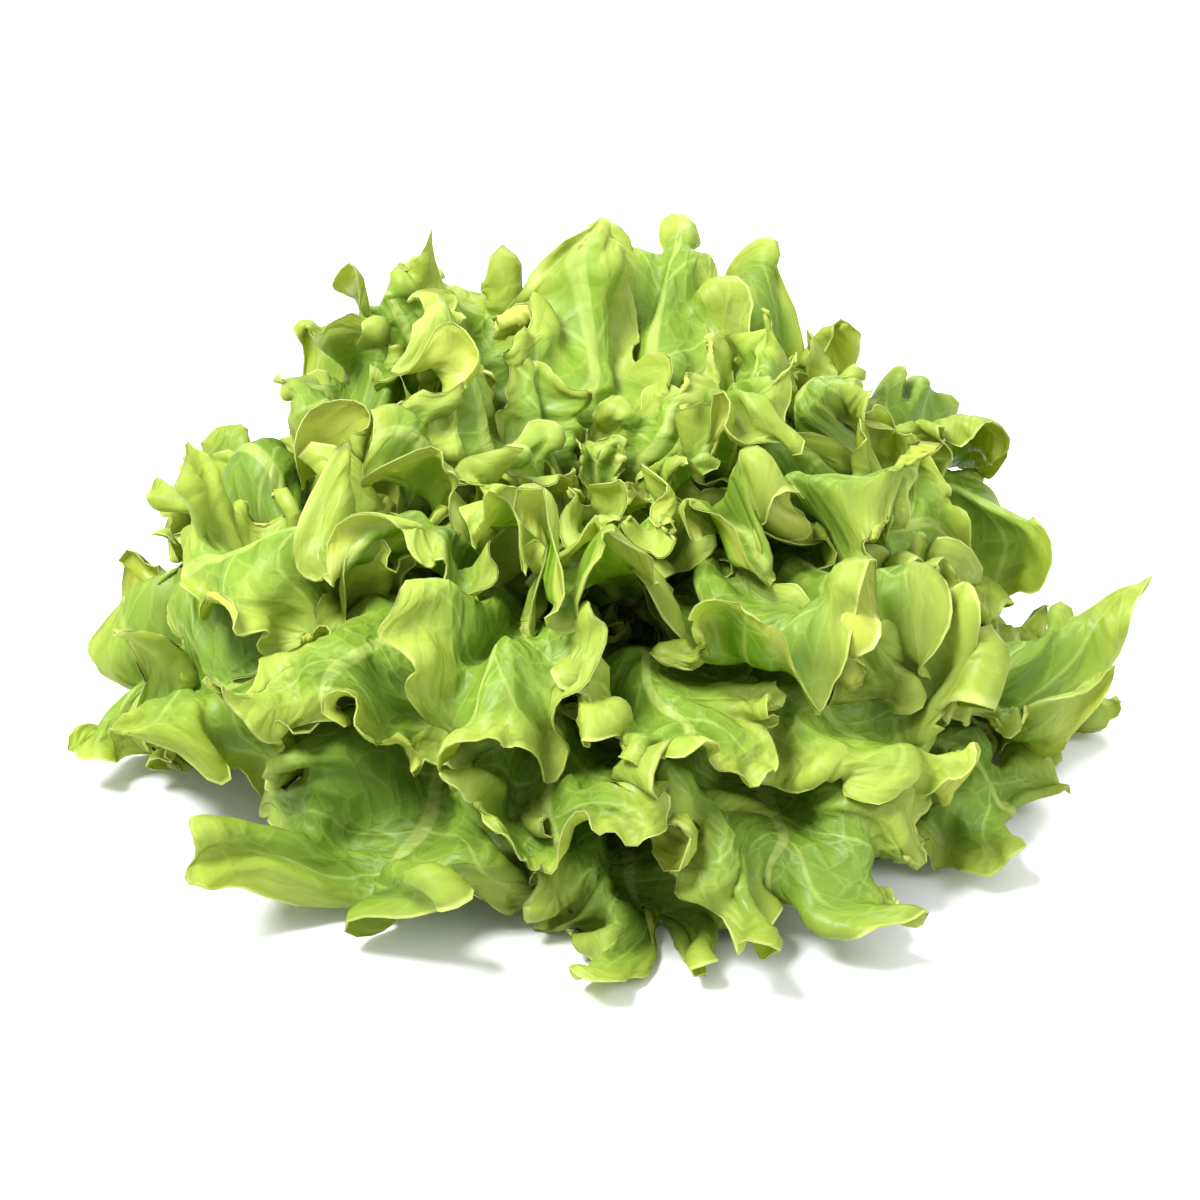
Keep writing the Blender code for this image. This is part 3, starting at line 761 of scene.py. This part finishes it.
def vein_cells(nodes, where):
    """How far each place is from the net of fine veins, as a share of a cell."""
    wander = nodes.add("ShaderNodeTexNoise", {"Vector": where, "Scale": 1 / NET_WANDER_LENGTH})
    wander = wander.outputs["Color"]
    bent = nodes.vector("SUBTRACT", {0: wander, 1: (0.5, 0.5, 0.5)})
    bent = nodes.vector("SCALE", {0: bent, "Scale": NET_WANDER})
    bent = nodes.vector("ADD", {0: where, 1: bent})
    inputs = {"Vector": bent, "Scale": NET_CELLS}
    return nodes.add("ShaderNodeTexVoronoi", inputs, feature="DISTANCE_TO_EDGE").outputs["Distance"]


def leaf_colour(nodes, kind, where, reach, side, cell):
    """Green, yellower towards the margin, with pale veins, a painted highlight along the rim, and paler
    below.
    """
    net = nodes.ramp(cell, *NET_EDGE, NET_SHARE, 0.0)
    net = nodes.math("MULTIPLY", net, nodes.ramp(reach, *NET_END, 1.0, NET_AT_MARGIN))
    main = nodes.math("MAXIMUM", rib_share(nodes, where), side_vein_share(nodes, reach))
    veins = nodes.math("MAXIMUM", main, net)

    tone = nodes.attribute("tone")
    patches = nodes.cloud(where, PATCH_SIZE, -PATCH_SHIFT, PATCH_SHIFT)
    to_margin = nodes.math("MULTIPLY_ADD", tone, TONE_SHIFT, nodes.math("ADD", reach, patches))
    colour = nodes.mix(nodes.ramp(to_margin, *MARGIN_FADE), BLADE[kind], MARGIN[kind])
    colour = nodes.mix(nodes.ramp(side, *SIDES, BACK_SHARE, 0.0), colour, BACK)
    colour = nodes.mix(nodes.math("MULTIPLY", veins, VEIN_SHARE), colour, VEIN)
    root = nodes.ramp(nodes.attribute("along_leaf"), *ROOT_FADE, ROOT_SHARE, 0.0)
    colour = nodes.mix(root, colour, VEIN)
    # Painted highlight: a pale band along the leaf's edge, standing in for light caught by the rim
    colour = nodes.mix(nodes.ramp(reach, *RIM_HIGHLIGHT_EDGE, 0.0, RIM_HIGHLIGHT_SHARE), colour, RIM_HIGHLIGHT)

    mottle = nodes.cloud(where, MOTTLE_SIZE, *MOTTLE, FINE_DETAIL)
    shade = nodes.math("MULTIPLY_ADD", tone, TONE_SHADE, mottle)
    return nodes.vector("SCALE", {0: colour, "Scale": shade})


def leaf_material(kind):
    """A thin glossy blade that light shines through."""
    made = bpy.data.materials.new(kind + "_look")
    nodes = Nodes(made)
    where = nodes.attribute("laid_flat", "Vector")
    side = nodes.attribute("side")
    cell = vein_cells(nodes, where)
    colour = leaf_colour(nodes, kind, where, nodes.attribute("reach"), side, cell)

    pillows = nodes.math("MULTIPLY", nodes.ramp(cell, 0.0, PILLOW_EDGE), PILLOW_HEIGHT)
    grain = nodes.noise(where, GRAIN_SIZE, GRAIN_DETAIL)
    height = nodes.math("MULTIPLY_ADD", grain, GRAIN_HEIGHT, pillows)
    height = nodes.math("MULTIPLY", height, nodes.ramp(side, *SIDES, -1.0, 1.0))
    bump = nodes.bump(height, BUMP_STRENGTH, BUMP_HEIGHT)
    matte = nodes.ramp(side, *SIDES, BACK_MATTE, 0.0)
    roughness = nodes.math("ADD", nodes.cloud(where, GLOSS_SIZE, *LEAF_ROUGHNESS), matte)
    inputs = {"Base Color": colour, "Roughness": roughness, "Normal": bump, "IOR": LEAF_IOR}
    shader = nodes.add("ShaderNodeBsdfPrincipled", inputs)
    glow = nodes.mix(GLOW_SHARE, colour, GLOW)
    through = nodes.add("ShaderNodeBsdfTranslucent", {"Color": glow, "Normal": bump})
    inputs = {0: THROUGH_SHARE, 1: shader.outputs[0], 2: through.outputs[0]}
    nodes.finish(nodes.add("ShaderNodeMixShader", inputs).outputs[0])
    return made


def stem_material():
    """Pale flesh with long fibres, browned a little where it was cut."""
    made = bpy.data.materials.new("stem_look")
    nodes = Nodes(made)
    where = nodes.add("ShaderNodeTexCoord", {}).outputs["Object"]
    height = nodes.add("ShaderNodeSeparateXYZ", {0: where}).outputs[2]
    drawn_out = nodes.add("ShaderNodeMapping", {"Vector": where, "Scale": FIBRE_STRETCH}).outputs[0]
    fibres = nodes.noise(drawn_out, FIBRE_SIZE, FINE_DETAIL)
    green = nodes.ramp(fibres, *CLOUD_EDGES, 0.0, FIBRE_SHARE)
    colour = nodes.mix(green, STEM_FLESH, MARGIN["heart_leaf"])
    stains = nodes.ramp(nodes.noise(where, STAIN_SIZE), *STAIN_EDGES, *STAIN_SHARES)
    cut = nodes.math("MULTIPLY", nodes.ramp(height, *CUT_FADE, 1.0, 0.0), stains)
    colour = nodes.mix(cut, colour, CUT_BROWN)
    bump = nodes.bump(fibres, FIBRE_STRENGTH, FIBRE_HEIGHT)
    inputs = {"Base Color": colour, "Roughness": STEM_ROUGHNESS, "Normal": bump}
    nodes.finish(nodes.add("ShaderNodeBsdfPrincipled", inputs).outputs[0])
    return made


def floor_material():
    made = bpy.data.materials.new("floor_look")
    nodes = Nodes(made)
    inputs = {"Base Color": FLOOR, "Roughness": FLOOR_ROUGHNESS}
    nodes.finish(nodes.add("ShaderNodeBsdfPrincipled", inputs).outputs[0])
    return made


def link(thing):
    bpy.context.scene.collection.objects.link(thing)
    return thing


def add_floor():
    mesh = bpy.data.meshes.new("floor")
    corners = [(x * FLOOR_REACH, y * FLOOR_REACH, 0) for x, y in ((-1, -1), (1, -1), (1, 1), (-1, 1))]
    mesh.from_pydata(corners, [], [(0, 1, 2, 3)])
    mesh.materials.append(floor_material())
    link(bpy.data.objects.new("floor", mesh))


def add_lights():
    """An even white studio, and the round lamps."""
    world = bpy.data.worlds.new("studio")
    bpy.context.scene.world = world
    world.use_nodes = True
    backdrop = world.node_tree.nodes["Background"]
    backdrop.inputs["Color"].default_value = (1, 1, 1, 1)
    backdrop.inputs["Strength"].default_value = STUDIO
    for name, place, size, power in LAMPS:
        lamp = bpy.data.lights.new(name, "AREA")
        lamp.shape = "DISK"
        lamp.size = size
        lamp.energy = power
        holder = link(bpy.data.objects.new(name, lamp))
        holder.location = place
        holder.rotation_euler = (Vector(LAMP_AIM) - Vector(place)).to_track_quat("-Z", "Y").to_euler()
    bpy.context.scene.view_settings.view_transform = "Standard"


def add_camera():
    """Looks at the head from the front, a little from above, and frames it as the photograph does."""
    low, high = (np.array(corner) for corner in cad_box)
    lens = bpy.data.cameras.new("camera")
    lens.lens = LENS * 1000
    lens.sensor_width = SENSOR * 1000
    camera = link(bpy.data.objects.new("camera", lens))
    frame_width = (high[0] - low[0]) * IMAGE_PIXELS / HEAD_PIXELS
    distance = frame_width * LENS / SENSOR
    middle = Vector(((low[0] + high[0]) / 2, (low[1] + high[1]) / 2, AIM_HEIGHT * high[2]))
    back = Vector((0, -math.cos(CAMERA_ELEVATION), math.sin(CAMERA_ELEVATION)))
    camera.location = middle + back * distance
    camera.rotation_euler = (-back).to_track_quat("-Z", "Y").to_euler()
    lens.shift_x = -(MIDDLE_PIXELS[0] / IMAGE_PIXELS - 0.5)
    lens.shift_y = MIDDLE_PIXELS[1] / IMAGE_PIXELS - 0.5
    bpy.context.scene.camera = camera


def add_leaves():
    looks = {name: leaf_material(name) for _, name, _ in CLASSES}
    for index in range(LEAF_COUNT):
        first, kind, _ = leaf_class(index)
        node = f"{kind}_{index - first + 1:02d}"
        leaf = link(bpy.data.objects.new(node + "_blade", leaf_mesh(node + "_blade", index)))
        leaf.data.materials.append(looks[kind])
        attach(leaf, "root")
        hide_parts(node)


add_leaves()
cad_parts["stem"].material_slots[0].material = stem_material()
add_floor()
add_lights()
add_camera()
